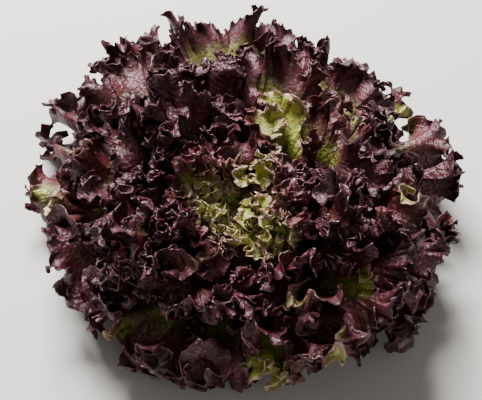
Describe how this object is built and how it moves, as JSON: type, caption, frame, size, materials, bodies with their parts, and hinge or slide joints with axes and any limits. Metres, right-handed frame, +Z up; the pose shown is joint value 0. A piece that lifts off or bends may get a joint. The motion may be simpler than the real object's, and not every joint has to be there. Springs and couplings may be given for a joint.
{
  "type": "lollo rosso lettuce",
  "caption": "Whole head of lollo rosso lettuce: a round rosette of dark red, tightly frilled leaves round a pale green heart, on a short stem cut flat.",
  "frame": {"origin": "centre of the stem's flat cut face, which the head stands on", "axes": "+Z up along the stem, from the cut face to the heart; -Y is the head's front, towards which its heart leans; +X to the right of a viewer who faces the front"},
  "size_m": [0.2484, 0.2442, 0.1128],
  "materials": {
    "stem": "moist, pale cut stem",
    "heart_leaf": "soft satin leaf, pale green with pink edges",
    "middle_leaf": "satin leaf, burgundy over olive green",
    "outer_leaf": "satin leaf, dark burgundy over olive green"
  },
  "bodies": {
    "root": {"stem": "stem", "heart_leaf_01": "heart_leaf", "heart_leaf_02": "heart_leaf", "heart_leaf_03": "heart_leaf", "heart_leaf_04": "heart_leaf", "heart_leaf_05": "heart_leaf", "heart_leaf_06": "heart_leaf", "heart_leaf_07": "heart_leaf", "heart_leaf_08": "heart_leaf", "heart_leaf_09": "heart_leaf", "heart_leaf_10": "heart_leaf", "heart_leaf_11": "heart_leaf", "heart_leaf_12": "heart_leaf", "heart_leaf_13": "heart_leaf", "heart_leaf_14": "heart_leaf", "middle_leaf_01": "middle_leaf", "middle_leaf_02": "middle_leaf", "middle_leaf_03": "middle_leaf", "middle_leaf_04": "middle_leaf", "middle_leaf_05": "middle_leaf", "middle_leaf_06": "middle_leaf", "middle_leaf_07": "middle_leaf", "middle_leaf_08": "middle_leaf", "middle_leaf_09": "middle_leaf", "middle_leaf_10": "middle_leaf", "middle_leaf_11": "middle_leaf", "middle_leaf_12": "middle_leaf", "middle_leaf_13": "middle_leaf", "middle_leaf_14": "middle_leaf", "middle_leaf_15": "middle_leaf", "middle_leaf_16": "middle_leaf", "middle_leaf_17": "middle_leaf", "outer_leaf_01": "outer_leaf", "outer_leaf_02": "outer_leaf", "outer_leaf_03": "outer_leaf", "outer_leaf_04": "outer_leaf", "outer_leaf_05": "outer_leaf", "outer_leaf_06": "outer_leaf", "outer_leaf_07": "outer_leaf", "outer_leaf_08": "outer_leaf", "outer_leaf_09": "outer_leaf", "outer_leaf_10": "outer_leaf", "outer_leaf_11": "outer_leaf", "outer_leaf_12": "outer_leaf", "outer_leaf_13": "outer_leaf", "outer_leaf_14": "outer_leaf", "outer_leaf_15": "outer_leaf", "outer_leaf_16": "outer_leaf", "outer_leaf_17": "outer_leaf"}
  },
  "joints": []
}
